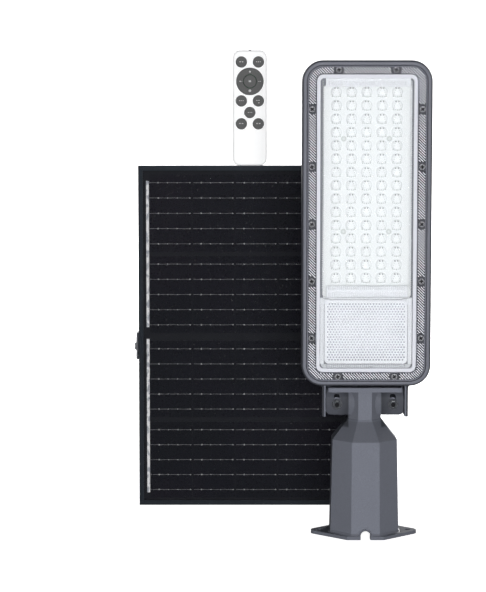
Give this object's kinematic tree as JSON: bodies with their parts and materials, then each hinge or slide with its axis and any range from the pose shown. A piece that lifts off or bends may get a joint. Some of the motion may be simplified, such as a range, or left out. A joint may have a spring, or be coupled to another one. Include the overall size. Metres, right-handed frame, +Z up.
{
  "type": "solar street lamp",
  "caption": "Tilting LED street lamp head on an octagonal pole socket, with its framed photovoltaic panel in a U strap and an infra-red remote.",
  "frame": {"origin": "centre of the two foot holes, on the underside of the lamp's foot", "axes": "+Z up along the pole socket; -Y the way the lamp shines; +X to the right seen from the front; the panel stands behind on the left"},
  "size_m": [0.3571, 0.243, 0.5769],
  "materials": {
    "casting": "fine-textured blue-grey powder coat on die-cast aluminium",
    "casting_light": "satin grey powder coat on die-cast aluminium, moulded ridges",
    "zinc_bolt": "bright zinc plate",
    "dark_screw": "stainless, satin",
    "clear_cover": "clear moulded cover",
    "white_silicone": "white silicone",
    "lens_plate": "white optical plastic",
    "prism_plate": "prismatic translucent plastic",
    "led_board": "white solder mask",
    "led_emitter": "lit phosphor",
    "cell_wrap": "heat-shrink wrap",
    "black_plastic": "moulded nylon, matt",
    "circuit_board": "green solder mask",
    "panel_frame": "black anodised extrusion",
    "panel_glass": "low-iron cover glass, smooth",
    "cell_silicon": "near-black silicon under film",
    "tinned_wire": "tinned copper",
    "backsheet": "black polymer film",
    "bracket_steel": "dark grey powder coat on steel strap",
    "nylon_washer": "nylon",
    "remote_white": "white moulded plastic",
    "key_rubber": "dark grey silicone",
    "nickel": "nickel plate",
    "smoked_led": "smoked clear epoxy"
  },
  "bodies": {
    "base": {"spigot_casting": "casting", "clamp_bolts": "zinc_bolt"},
    "head": {"rear_housing": "casting", "front_bezel": "casting_light", "bezel_screws": "dark_screw", "front_lens": "clear_cover", "lens_gasket": "white_silicone", "led_board": "led_board", "led_board_screws": "dark_screw", "led_chips": "led_emitter", "lens_array": "lens_plate", "diffuser_plate": "prism_plate", "battery_cells": "cell_wrap", "battery_cradle": "black_plastic", "controller_board": "circuit_board", "motion_sensor": "led_board", "ir_receiver": "smoked_led", "rear_disc_cover": "casting", "cable_gland": "black_plastic", "tilt_washers": "dark_screw", "tilt_screws": "dark_screw", "switch_frame": "black_plastic"},
    "rocker": {"switch_rocker": "black_plastic"},
    "bracket": {"panel_bracket": "bracket_steel", "pivot_washers": "nylon_washer"},
    "panel": {"frame_rail_left": "panel_frame", "frame_rail_right": "panel_frame", "frame_rail_top": "panel_frame", "frame_rail_bottom": "panel_frame", "corner_keys": "panel_frame", "panel_glass": "panel_glass", "cell_wires": "tinned_wire", "busbar_ribbons": "tinned_wire", "solar_cells": "cell_silicon", "panel_backsheet": "backsheet", "junction_box": "black_plastic", "junction_box_lid": "black_plastic", "junction_gland": "black_plastic", "pivot_bolts": "dark_screw"},
    "remote": {"remote_front_shell": "remote_white", "remote_rear_shell": "remote_white", "remote_board": "circuit_board", "remote_cell": "nickel", "remote_ir_led": "smoked_led"},
    "battery_door": {"remote_battery_door": "remote_white"},
    "key_on": {"key_on": "key_rubber"},
    "key_off": {"key_off": "key_rubber"},
    "key_ring": {"key_ring": "key_rubber"},
    "key_mode": {"key_mode": "key_rubber"},
    "key_left_a": {"key_left_a": "key_rubber"},
    "key_right_a": {"key_right_a": "key_rubber"},
    "key_middle": {"key_middle": "key_rubber"},
    "key_left_b": {"key_left_b": "key_rubber"},
    "key_right_b": {"key_right_b": "key_rubber"}
  },
  "joints": [
    {"name": "head_tilt", "type": "hinge", "parent": "base", "child": "head", "pos_m": [0, 0.011, 0.157], "axis": [1, 0, 0], "range_deg": [-15, 5]},
    {"name": "switch_rock", "type": "hinge", "parent": "head", "child": "rocker", "pos_m": [0.0267, 0.021, 0.1865], "axis": [0, 0, 1], "range_deg": [-20, 0]},
    {"name": "bracket_draw", "type": "slide", "parent": "base", "child": "bracket", "axis": [0, 1, 0], "range_m": [0, 0.15]},
    {"name": "panel_tilt", "type": "hinge", "parent": "bracket", "child": "panel", "pos_m": [-0.1267, 0.18, 0.203], "axis": [1, 0, 0], "range_deg": [-30, 10]},
    {"name": "remote_lift", "type": "slide", "parent": "panel", "child": "remote", "axis": [0, 0, 1], "range_m": [0, 0.15]},
    {"name": "door_pull", "type": "slide", "parent": "remote", "child": "battery_door", "axis": [0, 1, 0], "range_m": [0, 0.02]},
    {"name": "key_on_press", "type": "slide", "parent": "remote", "child": "key_on", "axis": [0, 1, 0], "range_m": [0, 0.0008], "stiffness_N_per_m": 700, "springref_m": -0.0005},
    {"name": "key_off_press", "type": "slide", "parent": "remote", "child": "key_off", "axis": [0, 1, 0], "range_m": [0, 0.0008], "stiffness_N_per_m": 700, "springref_m": -0.0005},
    {"name": "key_ring_press", "type": "slide", "parent": "remote", "child": "key_ring", "axis": [0, 1, 0], "range_m": [0, 0.0008], "stiffness_N_per_m": 700, "springref_m": -0.0005},
    {"name": "key_mode_press", "type": "slide", "parent": "remote", "child": "key_mode", "axis": [0, 1, 0], "range_m": [0, 0.0008], "stiffness_N_per_m": 700, "springref_m": -0.0005},
    {"name": "key_left_a_press", "type": "slide", "parent": "remote", "child": "key_left_a", "axis": [0, 1, 0], "range_m": [0, 0.0008], "stiffness_N_per_m": 700, "springref_m": -0.0005},
    {"name": "key_right_a_press", "type": "slide", "parent": "remote", "child": "key_right_a", "axis": [0, 1, 0], "range_m": [0, 0.0008], "stiffness_N_per_m": 700, "springref_m": -0.0005},
    {"name": "key_middle_press", "type": "slide", "parent": "remote", "child": "key_middle", "axis": [0, 1, 0], "range_m": [0, 0.0008], "stiffness_N_per_m": 700, "springref_m": -0.0005},
    {"name": "key_left_b_press", "type": "slide", "parent": "remote", "child": "key_left_b", "axis": [0, 1, 0], "range_m": [0, 0.0008], "stiffness_N_per_m": 700, "springref_m": -0.0005},
    {"name": "key_right_b_press", "type": "slide", "parent": "remote", "child": "key_right_b", "axis": [0, 1, 0], "range_m": [0, 0.0008], "stiffness_N_per_m": 700, "springref_m": -0.0005}
  ]
}
